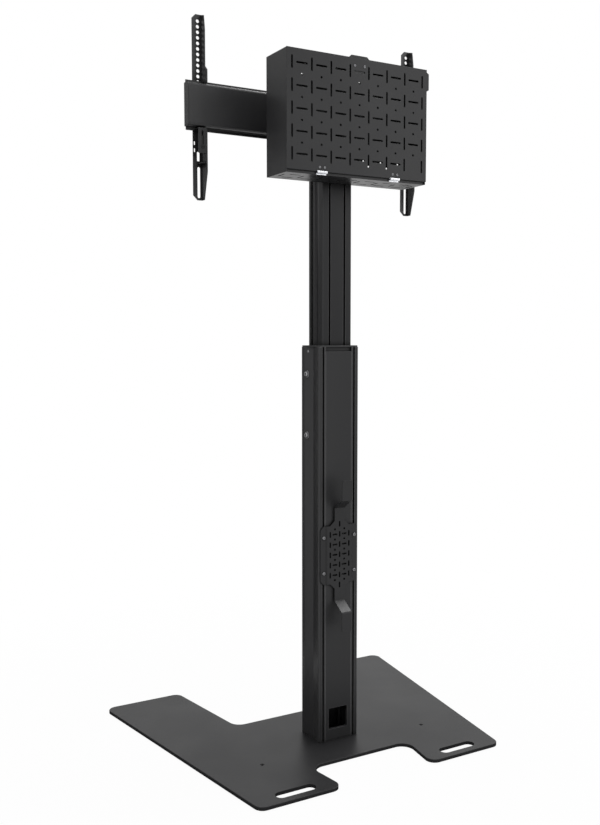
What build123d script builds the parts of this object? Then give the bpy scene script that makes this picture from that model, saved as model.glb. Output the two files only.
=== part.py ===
from build123d import *
import os
from math import radians, tan

# Floor stand for a flat screen, in millimetres.
# The origin is on the floor, under the middle of the column. +Z is up, the screen side faces -Y
# and the media box faces +Y.

# Base plate
pad_height = 2.0
pad_radius = 18.0
plate_thickness = 8.0
leg_width = 210.0
leg_splay = 8.8
rear_gap = 242.0
front_reach = 433.0
rear_reach = 258.0
web_front = 155.0
web_rear = 139.0
corner_radius = 22.0
notch_radius = 30.0
edge_break = 0.8
hand_slot_length = 100.0
hand_slot_width = 28.0
hand_slot_x = 225.0
hand_slot_inset = 32.0
leveller_x = 230.0
leveller_y = 76.0
leveller_radius = 5.0
front_pad_inset = 36.0
rear_pad_inset = 98.0

# Lower column: an extrusion with T-slots, fluted sides, screw ports and a duct down its back
outer_width = 111.6
outer_depth = 83.0
outer_height = 970.0
outer_corner = 2.5
side_wall = 2.9
flute_depth = 4.0
flute_start = -26.0
flute_vertex = 9.0
flute_end = 36.0
port_radius = 4.2
port_y = 27.0
column_screw_radius = 2.5
column_screw_length = 32.0
screw_recess = 0.5
duct_width = 73.0
duct_depth = 5.1
duct_undercut = 0.8
cover_thickness = 1.5
cover_sag = 1.2
cable_exit_width = 54.0
cable_exit_height = 53.0
cable_exit_rise = 28.0
strip_top_drop = 11.0

# Upper column: the smaller extrusion that slides in the lower one
inner_width = 80.8
inner_depth = 64.5
inner_length = 1150.0
inner_foot = 440.0
inner_corner = 2.0
inner_slot_x = 20.8
inner_flute_start = -3.0
inner_flute_vertex = 0.0
inner_flute_end = 16.0
inner_flute_depth = 2.4
cable_gate_width = 26.0
cable_gate_height = 60.0
cable_gate_rise = 60.0

# T-slots: the small ones take square nuts, the wide ones in the sides take the clamp nuts
slot_mouth = 5.6
slot_lip = 1.8
slot_inside = 9.6
slot_depth = 5.4
slot_floor = 2.1
outer_slot_x = 43.3
clamp_slot_mouth = 9.0
clamp_slot_lip = 2.2
clamp_slot_inside = 16.0
clamp_slot_depth = 7.0
clamp_slot_y = -17.0

# Guides between the columns, clamp bolts and their washers
liner_height = 40.0
liner_rim = 3.5
liner_rim_corner = 6.0
liner_screw_y = -12.0
liner_screw_drop = 11.0
liner_screw_radius = 1.9
guide_height = 20.0
plug_height = 12.0
upper_clamp_drop = 66.0
lower_clamp_drop = 215.0
clamp_bolt_radius = 4.0
clamp_head_radius = 6.6
clamp_head_height = 4.6
clamp_nut_length = 22.0
clamp_pad_height = 28.0
clamp_pad_front = -22.3
clamp_pad_rear = 3.0
washer_radius = 8.6
washer_thickness = 1.5
spot_depth = 2.2
mast_cap_height = 3.0

# Media box and its cover
box_width = 378.0
box_height = 267.3
box_overrise = 33.3
box_rim = 93.7
sheet = 1.5
return_depth = 9.0
cover_overhang = 1.0
cover_foot = 6.6
grid_columns = 8
grid_rows = 5
grid_pitch_x = 50.4
grid_pitch_z = 49.1
grid_top_inset = 30.2
grid_slot_length = 29.0
grid_slot_width = 4.2
grid_hole_radius = 2.6
floor_row_inset = 26.0
floor_row_pitch = 38.0
wall_row_lift = 7.0
wall_column_shift = 2.2
wall_plain = (-44.0, 70.0)
lip_inset = 3.5
lip_height = 7.4
box_screw_inset = 44.0

# Hinges and tabs of the cover
hinge_x = 99.2
hinge_width = 26.0
knuckle_width = 10.0
barrel_radius = 3.2
hinge_pin_radius = 1.5
hinge_axis_inset = 0.75
hinge_axis_rise = 5.5
leaf_thickness = 1.0
leaf_height = 17.0
hinge_screw_x = 6.5
hinge_screw_rise = 10.5
cover_screw_radius = 1.6
tab_stem_width = 44.0
tab_root_width = 56.0
tab_tip_width = 42.0
tab_shoulder = 12.0
tab_rise = 6.0
tab_drop = 34.0
tab_screw_x = 13.0
tab_screw_drop = 17.3
side_tab_height = 45.0
side_tab_tip = 37.0
side_tab_reach = 7.2
side_tab_root = 9.0
side_tab_drop = 5.0

# Cross bar, its end caps and the spacer between bar and column
bar_length = 668.0
bar_height = 98.0
bar_depth = 22.5
bar_wall = 2.0
bar_bend = 7.0
bar_drop = 63.0
lip_bend = 2.5
top_lip = 8.0
bottom_lip = 7.5
cap_thickness = 3.0
cap_plug = 14.0
spacer_depth = 38.0
spacer_width = 76.0
spacer_height = 92.0
spacer_wall = 5.0
bar_bolt_rise = 30.0

# Screen brackets and their locking plates
screen_spread = 594.0
bracket_sheet = 2.0
bracket_length = 424.0
bracket_rise = 162.0
bracket_standoff = 10.8
bracket_free_edge = 14.5
bracket_flange_edge = 9.5
bracket_chamfer = 9.0
bracket_tail_chamfer = 11.0
flange_tip_reach = 15.8
flange_upper_reach = 20.8
flange_top_taper = 37.0
flange_top_drop = 4.5
flange_hook_reach = 32.5
flange_lower_reach = 30.0
flange_tail_reach = 12.4
flange_step_rise = 42.0
flange_step = 10.0
flange_taper = 62.0
hook_clear = 2.2
hole_count = 12
hole_pitch = 12.5
hole_radius = 4.1
top_hole_inset = 15.0
window_inset = 90.0
window_height = 21.5
window_width = 7.0
tail_slot_inset = 5.0
tail_slot_length = 72.0
tail_slot_width = 7.4
rib_drop = 21.0
rib_depth = 24.0
side_hole_x = 10.5
side_hole_length = 9.0
side_hole_width = 3.4
side_hole_rises = (11.5, 27.5)
lock_height = 57.5
lock_clear = 3.0
lock_corner = 3.0
lock_travel = 15.0
lock_slot_offset = 4.0
lock_slot_width = 5.0
lock_slot_length = 40.0
lock_screw_radius = 2.4
lock_screw_rise = 14.5
lock_head_radius = 4.4
lock_head_height = 2.0

# Cable bracket on the back of the lower column
hanger_width = 105.0
hanger_height = 143.0
hanger_rise = 465.7
hanger_sheet = 2.0
hanger_step = 3.0
hanger_middle = 69.0
hanger_corner = 9.0
hanger_root = 56.0
neck_width = 28.0
neck_length = 43.5
neck_taper = 12.0
hook_reach = 34.0
hook_rise = 22.0
hook_lip = 48.5
hook_bend = 5.0
hook_chamfer = 4.0
hanger_screw_z = 43.8
hanger_pitch_x = 13.3
hanger_pitch_z = 25.1
hanger_slot_length = 14.0
hanger_slot_width = 4.2
hanger_dot_radius = 2.6

# Screws that run in the small T-slots, and their nuts
screw_radius = 2.4
screw_head_radius = 4.6
screw_head_height = 2.8
nut_length = 13.0
nut_thickness = 3.0

# Fits between pieces
slide_gap = 0.35
seat_gap = 0.3
sheet_gap = 0.6
screw_gap = 0.1

# Places worked out from the sizes above
plate_top = pad_height + plate_thickness
screw_seat = pad_height + screw_recess
outer_top = plate_top + outer_height
inner_bottom = plate_top + inner_foot
inner_top = inner_bottom + inner_length
splay = tan(radians(leg_splay))
outer_cavity_width = outer_width - 2 * (flute_depth + side_wall)
outer_cavity_depth = outer_depth - 2 * (slot_depth + slot_floor)
inner_cavity_width = inner_width - 2 * (clamp_slot_depth + slot_floor)
inner_cavity_depth = inner_depth - 2 * (slot_depth + slot_floor)
port_x = outer_cavity_width / 2 - 0.7 * port_radius
cable_exit_bottom = plate_top + cable_exit_rise
liner_screw_z = outer_top - liner_screw_drop
clamp_heights = (outer_top - upper_clamp_drop, outer_top - lower_clamp_drop)
spot_x = outer_width / 2 - spot_depth
washer_x = spot_x + washer_thickness
box_front = inner_depth / 2
box_rear = box_front + box_rim
box_top = inner_top + box_overrise
box_bottom = box_top - box_height
lip_rear = box_rear - lip_inset
box_screw_heights = (box_bottom + box_screw_inset, inner_top - box_screw_inset)
cover_front = box_rear + seat_gap
cover_rear = cover_front + sheet
cover_width = box_width + 2 * cover_overhang
cover_bottom = box_bottom + cover_foot
hinge_y = cover_front + hinge_axis_inset
hinge_z = box_bottom + hinge_axis_rise
side_tab_bottom = box_top - side_tab_drop - side_tab_height
hinge_screw_z = hinge_z + hinge_screw_rise
bar_centre = inner_top - bar_drop
bar_bolt_heights = (bar_centre - bar_bolt_rise, bar_centre + bar_bolt_rise)
bar_rear = -(inner_depth / 2 + spacer_depth)
bar_front = bar_rear - bar_depth
bar_top = bar_centre + bar_height / 2
bar_bottom = bar_centre - bar_height / 2
bracket_rear = bar_front - bracket_standoff
bracket_front = bracket_rear - bracket_sheet
bracket_top = bar_top + bracket_rise
bracket_bottom = bracket_top - bracket_length
lip_back = bar_front + bar_wall
tab_back = bracket_rear + flange_lower_reach
lock_front = tab_back + slide_gap
lock_back = lock_front + bracket_sheet
lock_top = bar_bottom - lock_clear
lock_bottom = lock_top - lock_height
lock_screw_z = lock_bottom + lock_screw_rise
lock_tab_top = lock_top - bracket_sheet - lock_travel - slide_gap
hanger_centre = plate_top + hanger_rise
hanger_front = outer_depth / 2 + seat_gap
hanger_back = hanger_front + hanger_sheet


def block(x, y, z):
    """A box between two limits on each axis."""
    size = [b - a for a, b in (x, y, z)]
    centre = [(a + b) / 2 for a, b in (x, y, z)]
    return Pos(*centre) * Box(*size)


def rod(radius, start, end):
    """A round bar from one point to another."""
    axis = Vector(*end) - Vector(*start)
    stand = (Align.CENTER, Align.CENTER, Align.MIN)
    return Plane(origin=start, z_dir=axis) * Cylinder(radius, axis.length, align=stand)


def along_x(sketch, start, end):
    """Extrude a sketch drawn in (Y, Z) from one X to another."""
    return extrude(Plane((start, 0, 0), x_dir=(0, 1, 0), z_dir=(1, 0, 0)) * sketch, end - start)


def along_y(sketch, start, end):
    """Extrude a sketch drawn in (X, Z) from one Y to another."""
    return extrude(Plane((0, end, 0), x_dir=(1, 0, 0), z_dir=(0, -1, 0)) * sketch, end - start)


def along_z(sketch, start, end):
    """Extrude a sketch drawn in (X, Y) from one Z to another."""
    return extrude(Pos(0, 0, start) * sketch, end - start)


def shape(*points):
    """A flat face through the given corners."""
    return make_face(Polyline(*points, close=True))


def span(x, y):
    """A flat rectangle between two limits on each of its axes."""
    return Pos((x[0] + x[1]) / 2, (y[0] + y[1]) / 2) * Rectangle(x[1] - x[0], y[1] - y[0])


def screw(seat, outward, radius, length, head_radius, head_height):
    """A socket screw: its head sits on the seat point and points outward."""
    stand = (Align.CENTER, Align.CENTER, Align.MIN)
    head = Cylinder(head_radius, head_height, align=stand)
    head = chamfer(head.edges().sort_by(Axis.Z)[-1], head_height * 0.25)
    key = RegularPolygon(head_radius * 0.5, 6)
    head -= extrude(Pos(0, 0, head_height * 0.4) * key, head_height)
    shank = Pos(0, 0, -length) * Cylinder(radius, length, align=stand)
    return Plane(origin=seat, z_dir=outward) * (head + shank)


def t_slot(mouth, lip, inside, depth):
    """T-slot section, cut down from a face at local Y 0."""
    neck = span((-mouth / 2, mouth / 2), (-lip, 1))
    return neck + span((-inside / 2, inside / 2), (-depth, -lip))


def small_slots(slot_x, depth):
    """The rear and front T-slots of a column of the given depth."""
    slot = t_slot(slot_mouth, slot_lip, slot_inside, slot_depth)
    cuts = [Pos(x, depth / 2) * slot for x in (-slot_x, slot_x)]
    return cuts + [Rot(0, 0, 180) * cut for cut in cuts]


def flutes(width, start, vertex, end, depth):
    """V-shaped flutes down both sides of a column of the given width."""
    edge = width / 2
    groove = shape((edge + 1, start), (edge, start), (edge - depth, vertex), (edge, end), (edge + 1, end))
    return [groove, mirror(groove, Plane.YZ)]


def port_spots():
    """Where the four screw ports of the lower column stand."""
    return [(x, y) for x in (-port_x, port_x) for y in (-port_y, port_y)]


def outer_cavity():
    """The hollow of the lower column, drawn around its screw ports."""
    hollow = Rectangle(outer_cavity_width, outer_cavity_depth)
    for x, y in port_spots():
        hollow -= Pos(x, y) * Circle(port_radius)
        hollow -= span(sorted((x, x + (port_radius if x > 0 else -port_radius))), (y - 2, y + 2))
    return hollow


def leg_inner_x(y):
    """Half the gap between the legs at a given Y."""
    return rear_gap / 2 + splay * (rear_reach - y)


def leg_centre_x(y):
    return leg_inner_x(y) + leg_width / 2


def base_plate():
    """Two splayed legs joined by a web, cut from one plate."""
    corners = [
        (leg_inner_x(web_rear), web_rear),
        (leg_inner_x(rear_reach), rear_reach),
        (leg_inner_x(rear_reach) + leg_width, rear_reach),
        (leg_inner_x(-front_reach) + leg_width, -front_reach),
        (leg_inner_x(-front_reach), -front_reach),
        (leg_inner_x(-web_front), -web_front),
    ]
    plan = shape(*corners, *[(-x, y) for x, y in reversed(corners)])
    inside = [v for v in plan.vertices() if min(abs(v.Y + web_front), abs(v.Y - web_rear)) < 0.1]
    plan = fillet(inside, notch_radius)
    tips = [v for v in plan.vertices() if min(abs(v.Y + front_reach), abs(v.Y - rear_reach)) < 0.1]
    plan = fillet(tips, corner_radius)
    plate = along_z(plan, pad_height, plate_top)
    plate = chamfer(plate.faces().sort_by(Axis.Z)[-1].edges(), edge_break)
    hand_slot = SlotOverall(hand_slot_length, hand_slot_width)
    leveller_hole = Circle(leveller_radius + screw_gap)
    for side in (-1, 1):
        cut = Pos(side * hand_slot_x, rear_reach - hand_slot_inset) * hand_slot
        plate -= along_z(cut, 0, plate_top + 1)
        cut = Pos(side * leveller_x, leveller_y) * leveller_hole
        plate -= along_z(cut, 0, plate_top + 1)
    for x, y in port_spots():
        plate -= column_screw(x, y, screw_gap)
        plate -= rod(2 * column_screw_radius + 2 * screw_gap, (x, y, 0), (x, y, screw_seat))
    return plate


def foot_pads():
    """Round rubber pads under the four ends of the legs."""
    spots = []
    for y in (-front_reach + front_pad_inset, rear_reach - rear_pad_inset):
        spots += [(-leg_centre_x(y), y), (leg_centre_x(y), y)]
    return [rod(pad_radius, (x, y, 0), (x, y, pad_height)) for x, y in spots]


def levelling_screws():
    """Hexagon socket set screws in the rear legs."""
    solids = []
    for x in (-leveller_x, leveller_x):
        body = rod(leveller_radius, (x, leveller_y, pad_height / 2), (x, leveller_y, plate_top - 1))
        key = Pos(x, leveller_y) * RegularPolygon(leveller_radius * 0.55, 6)
        solids.append(body - along_z(key, plate_top / 2, plate_top))
    return solids


def column_screw(x, y, gap):
    """One countersunk screw of the lower column, or its hole when a gap is given."""
    radius = column_screw_radius + gap
    head = Pos(x, y, screw_seat + radius / 2) * Cone(2 * radius, radius, radius)
    return head + rod(radius, (x, y, screw_seat), (x, y, screw_seat + column_screw_length))


def column_screws():
    """The four screws that come up through the base plate, with their sockets."""
    key = RegularPolygon(column_screw_radius * 0.7, 6)
    solids = []
    for x, y in port_spots():
        socket = along_z(Pos(x, y) * key, screw_seat, screw_seat + column_screw_radius)
        solids.append(column_screw(x, y, 0) - socket)
    return solids


def duct():
    """The duct down the back of the lower column, with an undercut for the cover strip."""
    top = outer_depth / 2
    half = duct_width / 2
    well = span((-half, half), (top - duct_depth, top + 1))
    foot = span(
        (-half - duct_undercut, half + duct_undercut), (top - duct_depth, top - duct_depth + 1.6)
    )
    return well + foot


def cable_exit():
    """The opening low in the back of the lower column where the cables come out."""
    middle = cable_exit_bottom + cable_exit_height / 2
    hole = Pos(0, middle) * RectangleRounded(cable_exit_width, cable_exit_height, 3)
    return along_y(hole, outer_cavity_depth / 2 - 1, outer_depth / 2 + 1)


def lower_column():
    """The outer extrusion of the telescopic column."""
    section = RectangleRounded(outer_width, outer_depth, outer_corner) - outer_cavity() - duct()
    for cut in small_slots(outer_slot_x, outer_depth):
        section -= cut
    for cut in flutes(outer_width, flute_start, flute_vertex, flute_end, flute_depth):
        section -= cut
    for x, y in port_spots():
        section -= Pos(x, y) * Circle(column_screw_radius + screw_gap)
    column = along_z(section, plate_top, outer_top) - cable_exit()
    for z in clamp_heights:
        seat = (spot_x, clamp_slot_y, z)
        column -= rod(clamp_bolt_radius + screw_gap, (0, clamp_slot_y, z), seat)
        column -= rod(washer_radius + screw_gap, seat, (outer_width, clamp_slot_y, z))
    seat = (spot_x, liner_screw_y, liner_screw_z)
    column -= rod(liner_screw_radius + screw_gap, (0, liner_screw_y, liner_screw_z), seat)
    outside = (outer_width, liner_screw_y, liner_screw_z)
    return column - rod(2 * liner_screw_radius + screw_gap, seat, outside)


def cover_strip():
    """The hollow-backed strip that snaps into the duct of the lower column."""
    top = outer_depth / 2
    half = duct_width / 2 - screw_gap
    foot = top - duct_depth + screw_gap
    leg = cover_thickness
    outer_arc = ThreePointArc((-half, top), (0, top - cover_sag), (half, top))
    inner = top - cover_thickness
    inner_arc = ThreePointArc((half - leg, inner), (0, inner - cover_sag), (leg - half, inner))
    edge = [
        outer_arc,
        Polyline((half, top), (half, foot), (half - leg, foot), (half - leg, inner)),
        inner_arc,
        Polyline((leg - half, inner), (leg - half, foot), (-half, foot), (-half, top)),
    ]
    section = make_face(edge)
    bead = duct_undercut - screw_gap
    for side in (-1, 1):
        section += span(sorted((side * (half - leg), side * (half + bead))), (foot, foot + 1.2))
    return along_z(section, plate_top, outer_top - strip_top_drop) - cable_exit()


def glide_liner():
    """Plastic collar that guides the upper column, with a rim on top of the lower one."""
    way = RectangleRounded(
        inner_width + 2 * slide_gap, inner_depth + 2 * slide_gap, inner_corner + slide_gap
    )
    collar = along_z(offset(outer_cavity(), -screw_gap) - way, outer_top - liner_height, outer_top)
    rim = RectangleRounded(outer_width, outer_depth, liner_rim_corner) - way
    collar += along_z(rim, outer_top, outer_top + liner_rim)
    start = (inner_width / 2, liner_screw_y, liner_screw_z)
    return collar - rod(liner_screw_radius, start, (spot_x, liner_screw_y, liner_screw_z))


def liner_screw():
    """Small screw that keeps the collar in place."""
    seat = (spot_x, liner_screw_y, liner_screw_z)
    length = spot_x - inner_width / 2 - slide_gap - 2
    radius = liner_screw_radius - screw_gap
    return screw(seat, (1, 0, 0), radius, length, 2 * liner_screw_radius - screw_gap, 1.8)


def clamp_washers():
    solids = []
    for z in clamp_heights:
        disc = rod(washer_radius, (spot_x, clamp_slot_y, z), (washer_x, clamp_slot_y, z))
        hole = rod(clamp_bolt_radius + screw_gap, (0, clamp_slot_y, z), (outer_width, clamp_slot_y, z))
        solids.append(disc - hole)
    return solids


def clamp_pads():
    """Plastic pads between the two columns, around the clamp bolts."""
    solids = []
    for z in clamp_heights:
        pad = block(
            (inner_width / 2 + slide_gap, outer_cavity_width / 2),
            (clamp_pad_front, clamp_pad_rear),
            (z - clamp_pad_height / 2, z + clamp_pad_height / 2),
        )
        hole = rod(clamp_bolt_radius + screw_gap, (0, clamp_slot_y, z), (outer_width, clamp_slot_y, z))
        solids.append(pad - hole)
    return solids


def clamp_nuts():
    """Plate nuts that the clamp bolts pull against the lips of the side slot."""
    back = inner_width / 2 - clamp_slot_depth + slide_gap
    front = inner_width / 2 - clamp_slot_lip - slide_gap
    half = clamp_slot_inside / 2 - slide_gap
    solids = []
    for z in clamp_heights:
        nut = block(
            (back, front),
            (clamp_slot_y - half, clamp_slot_y + half),
            (z - clamp_nut_length / 2, z + clamp_nut_length / 2),
        )
        hole = rod(clamp_bolt_radius + screw_gap, (0, clamp_slot_y, z), (outer_width, clamp_slot_y, z))
        solids.append(nut - hole)
    return solids


def clamp_bolt(z):
    """Socket bolt through washer, wall, pad and plate nut."""
    seat = (washer_x + screw_gap, clamp_slot_y, z)
    length = seat[0] - (inner_width / 2 - clamp_slot_depth + 2 * slide_gap)
    return screw(seat, (1, 0, 0), clamp_bolt_radius, length, clamp_head_radius, clamp_head_height)


def upper_column():
    """The inner extrusion, with clamp slots in its sides and nut slots front and rear."""
    section = RectangleRounded(inner_width, inner_depth, inner_corner)
    section -= Rectangle(inner_cavity_width, inner_cavity_depth)
    for cut in small_slots(inner_slot_x, inner_depth):
        section -= cut
    slot = t_slot(clamp_slot_mouth, clamp_slot_lip, clamp_slot_inside, clamp_slot_depth)
    for side in (-1, 1):
        section -= Pos(side * inner_width / 2, clamp_slot_y) * Rot(0, 0, -90 * side) * slot
    for cut in flutes(
        inner_width, inner_flute_start, inner_flute_vertex, inner_flute_end, inner_flute_depth
    ):
        section -= cut
    column = along_z(section, inner_bottom, inner_top)
    return column - cable_gate(inner_cavity_depth / 2 - 1, box_front + 1)


def cable_gate(start, end):
    """The opening that lets cables pass from the upper column into the media box."""
    middle = box_bottom + cable_gate_rise + cable_gate_height / 2
    hole = Pos(0, middle) * RectangleRounded(cable_gate_width, cable_gate_height, 4)
    return along_y(hole, start, end)


def column_plug(gap):
    """The part of a cap or guide that sits in the hollow of the upper column."""
    ring = Rectangle(inner_cavity_width - 2 * gap, inner_cavity_depth - 2 * gap)
    return ring - Rectangle(inner_cavity_width - 16, inner_cavity_depth - 16)


def guide_block():
    """Plastic guide on the foot of the upper column, with a way through for cables."""
    section = offset(outer_cavity(), -slide_gap)
    section -= Rectangle(inner_cavity_width - 16, inner_cavity_depth - 16)
    block_part = along_z(section, inner_bottom - guide_height, inner_bottom)
    return block_part + along_z(column_plug(screw_gap), inner_bottom, inner_bottom + plug_height)


def mast_cap():
    """Plastic cap in the top of the upper column."""
    lid = RectangleRounded(inner_width, inner_depth, inner_corner)
    lid = along_z(lid, inner_top, inner_top + mast_cap_height)
    lid = chamfer(lid.faces().sort_by(Axis.Z)[-1].edges(), 1)
    return lid + along_z(column_plug(screw_gap), inner_top - plug_height, inner_top)


def slot_nut(x, y, z, turn):
    """A square nut lying in a small T-slot that opens toward +Y, turned about Z."""
    half = slot_inside / 2 - slide_gap
    nut = block((-half, half), (-nut_thickness, 0), (-nut_length / 2, nut_length / 2))
    nut -= rod(screw_radius + screw_gap, (0, -slot_depth, 0), (0, 1, 0))
    return Pos(x, y, z) * Rot(0, 0, turn) * nut


def mast_nuts():
    """Nuts in the slots of the upper column: rear ones for the box, front ones for the bar."""
    lip = inner_depth / 2 - slot_lip
    solids = []
    for x in (-inner_slot_x, inner_slot_x):
        solids += [slot_nut(x, lip, z, 0) for z in box_screw_heights]
        solids += [slot_nut(x, -lip, z, 180) for z in bar_bolt_heights]
    return solids


def mast_spacer():
    """Cast spacer between the upper column and the cross bar, ribbed around its four bolts."""
    half_width = spacer_width / 2
    half_height = spacer_height / 2
    body = RectangleRounded(spacer_width, spacer_height, 6)
    spacer = along_y(Pos(0, bar_centre) * body, bar_rear, -inner_depth / 2)
    pocket = Rectangle(2 * inner_slot_x - 4 * spacer_wall, spacer_height - 2 * spacer_wall)
    spacer -= along_y(Pos(0, bar_centre) * pocket, bar_rear - 1, -inner_depth / 2 - spacer_wall)
    side_cut = Rectangle(half_width - inner_slot_x, 2 * bar_bolt_rise - 4 * spacer_wall)
    for side in (-1, 1):
        middle = side * (half_width + inner_slot_x - spacer_wall) / 2
        cut = Pos(middle, bar_centre) * side_cut
        spacer -= along_y(cut, bar_rear - 1, -inner_depth / 2 - spacer_wall)
    for x in (-inner_slot_x, inner_slot_x):
        for z in bar_bolt_heights:
            spacer -= rod(screw_radius + screw_gap, (x, bar_rear - 1, z), (x, 0, z))
    return spacer


def bar_bolts():
    """Bolts through the cross bar and the spacer into the front slots of the upper column."""
    seat = bar_rear - bar_wall
    length = -seat - inner_depth / 2 + slot_depth - 2 * screw_gap
    solids = []
    for x in (-inner_slot_x, inner_slot_x):
        for z in bar_bolt_heights:
            place = (x, seat, z)
            solids.append(
                screw(place, (0, -1, 0), screw_radius, length, screw_head_radius, screw_head_height)
            )
    return solids


def cross_bar():
    """Folded steel channel with outward lips along its open front."""
    half = bar_wall / 2
    front, rear = bar_front + half, bar_rear - half
    low, high = bar_bottom + half, bar_top - half
    path = FilletPolyline(
        (front, bar_bottom - bottom_lip),
        (front, low),
        (rear, low),
        (rear, high),
        (front, high),
        (front, bar_top + top_lip),
        radius=(lip_bend, bar_bend - half, bar_bend - half, lip_bend),
    )
    bar = along_x(trace(path, bar_wall), -bar_length / 2, bar_length / 2)
    for x in (-inner_slot_x, inner_slot_x):
        for z in bar_bolt_heights:
            bar -= rod(screw_radius + screw_gap, (x, bar_front, z), (x, 0, z))
    return bar


def bar_profile(inset):
    """The outline that the channel encloses, drawn in (Y, Z) and taken in by an inset."""
    y = (bar_front + inset, bar_rear - inset)
    z = (bar_bottom + inset, bar_top - inset)
    outline = span(y, z)
    rear_corners = [v for v in outline.vertices() if abs(v.X - y[1]) < 0.01]
    return fillet(rear_corners, bar_bend - inset)


def bar_cap(side):
    """Plastic cap that closes one end of the cross bar."""
    end = side * bar_length / 2
    face = along_x(bar_profile(0), *sorted((end, end + side * cap_thickness)))
    plug = bar_profile(bar_wall + screw_gap) - bar_profile(bar_wall + screw_gap + 3)
    return face + along_x(plug, *sorted((end, end - side * cap_plug)))


def grid_spots(count_x, count_z):
    """Centres of a pattern on the cover, hung from the top row and centred in width."""
    rows_top = box_top - grid_top_inset
    drop = (grid_rows - count_z) / 2 * grid_pitch_z
    spots = []
    for row in range(count_z):
        for column in range(count_x):
            x = (column - (count_x - 1) / 2) * grid_pitch_x
            spots.append((x, rows_top - drop - row * grid_pitch_z))
    return spots


def wall_slots():
    """The slots in the front wall of the media box, left out where it is plain near the column."""
    tall_slot = SlotOverall(grid_slot_length, grid_slot_width, rotation=90)
    flat_slot = SlotOverall(grid_slot_length, grid_slot_width)
    spots = [(tall_slot, spot) for spot in grid_spots(grid_columns, grid_rows)]
    spots += [(flat_slot, spot) for spot in grid_spots(grid_columns - 1, grid_rows)]
    spots = [(slot, x + wall_column_shift, z + wall_row_lift) for slot, (x, z) in spots]
    low, high = wall_plain
    return [Pos(x, z) * slot for slot, x, z in spots if not low < x < high]


def media_box():
    """Sheet-metal tray, open at the rear, with slots in its floor and wall and a cable gate."""
    half = box_width / 2
    inside = (sheet - half, half - sheet)
    lip = (box_bottom, box_bottom + lip_height)
    tray = block((-half, half), (box_front, box_rear), (box_bottom, box_top))
    tray -= block(inside, (box_front + sheet, box_rear + 1), (box_bottom + sheet, box_top - sheet))
    tray -= block(inside, (lip_rear, box_rear + 1), (box_bottom - 1, box_bottom + lip_height))
    tray += block(inside, (lip_rear - sheet, lip_rear), lip)
    tray -= along_y(Sketch() + wall_slots(), box_front - 1, box_front + sheet + 1)
    slot_x = SlotOverall(grid_slot_length, grid_slot_width)
    slot_y = SlotOverall(grid_slot_length, grid_slot_width, rotation=90)
    cuts = []
    for column in range(grid_columns):
        x = (column - (grid_columns - 1) / 2) * grid_pitch_x
        cuts.append(Pos(x, box_front + floor_row_inset + floor_row_pitch / 2) * slot_y)
        if column < grid_columns - 1:
            middle = x + grid_pitch_x / 2
            cuts.append(Pos(middle, box_front + floor_row_inset) * slot_x)
            cuts.append(Pos(middle, box_front + floor_row_inset + floor_row_pitch) * slot_x)
    tray -= along_z(Sketch() + cuts, box_bottom - 1, box_bottom + sheet + 1)
    tray -= cable_gate(box_front - 1, box_front + sheet + 1)
    for x in (-inner_slot_x, inner_slot_x):
        for z in box_screw_heights:
            tray -= rod(screw_radius + screw_gap, (x, 0, z), (x, box_front + 2 * sheet, z))
    notch = tab_root_width / 2 + sheet_gap
    tab_space = (cover_front - sheet - sheet_gap, box_rear + 1)
    tray -= block((-notch, notch), tab_space, (box_top - sheet - 1, box_top + 1))
    low, high = side_tab_bottom - sheet_gap, side_tab_bottom + side_tab_height + sheet_gap
    tray -= block((-half - 1, sheet + 1 - half), tab_space, (low, high))
    return tray


def box_screws():
    """Screws that hold the media box to the rear slots of the upper column."""
    seat = box_front + sheet
    length = sheet + slot_depth - 2 * screw_gap
    solids = []
    for x in (-inner_slot_x, inner_slot_x):
        for z in box_screw_heights:
            place = (x, seat, z)
            solids.append(
                screw(place, (0, 1, 0), screw_radius, length, screw_head_radius, screw_head_height)
            )
    return solids


def knuckle(x_start, x_end):
    return rod(barrel_radius, (x_start, hinge_y, hinge_z), (x_end, hinge_y, hinge_z))


def hinge_bore(radius):
    """The pin holes of both hinges."""
    reach = hinge_width
    ends = [(x - reach, x + reach) for x in (-hinge_x, hinge_x)]
    return [rod(radius, (a, hinge_y, hinge_z), (b, hinge_y, hinge_z)) for a, b in ends]


def box_leaves():
    """Hinge leaves on the lip of the box, each with the middle knuckle."""
    solids = []
    for x in (-hinge_x, hinge_x):
        wide = (x - hinge_width / 2, x + hinge_width / 2)
        middle = (x - knuckle_width / 2, x + knuckle_width / 2)
        leaf = block(wide, (lip_rear, lip_rear + leaf_thickness), (box_bottom, box_bottom + lip_height))
        leaf += block(middle, (lip_rear, hinge_y), (hinge_z - 2, hinge_z + 1.5))
        leaf += knuckle(*middle)
        for bore in hinge_bore(hinge_pin_radius + screw_gap):
            leaf -= bore
        solids.append(leaf)
    return solids


def cover_leaves():
    """Hinge leaves behind the cover, each with the two outer knuckles."""
    solids = []
    back = (cover_front - leaf_thickness, cover_front)
    for x in (-hinge_x, hinge_x):
        wide = (x - hinge_width / 2, x + hinge_width / 2)
        leaf = block(wide, back, (hinge_z + barrel_radius + slide_gap, hinge_z + leaf_height))
        for side in (-1, 1):
            ends = (x + side * (knuckle_width / 2 + seat_gap), x + side * hinge_width / 2)
            leaf += block(sorted(ends), back, (hinge_z, hinge_z + leaf_height))
            leaf += knuckle(*sorted(ends))
            place = (x + side * hinge_screw_x, 0, hinge_screw_z)
            leaf -= rod(cover_screw_radius + screw_gap, place, (place[0], box_rear * 2, hinge_screw_z))
        for bore in hinge_bore(hinge_pin_radius + screw_gap):
            leaf -= bore
        solids.append(leaf)
    return solids


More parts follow.
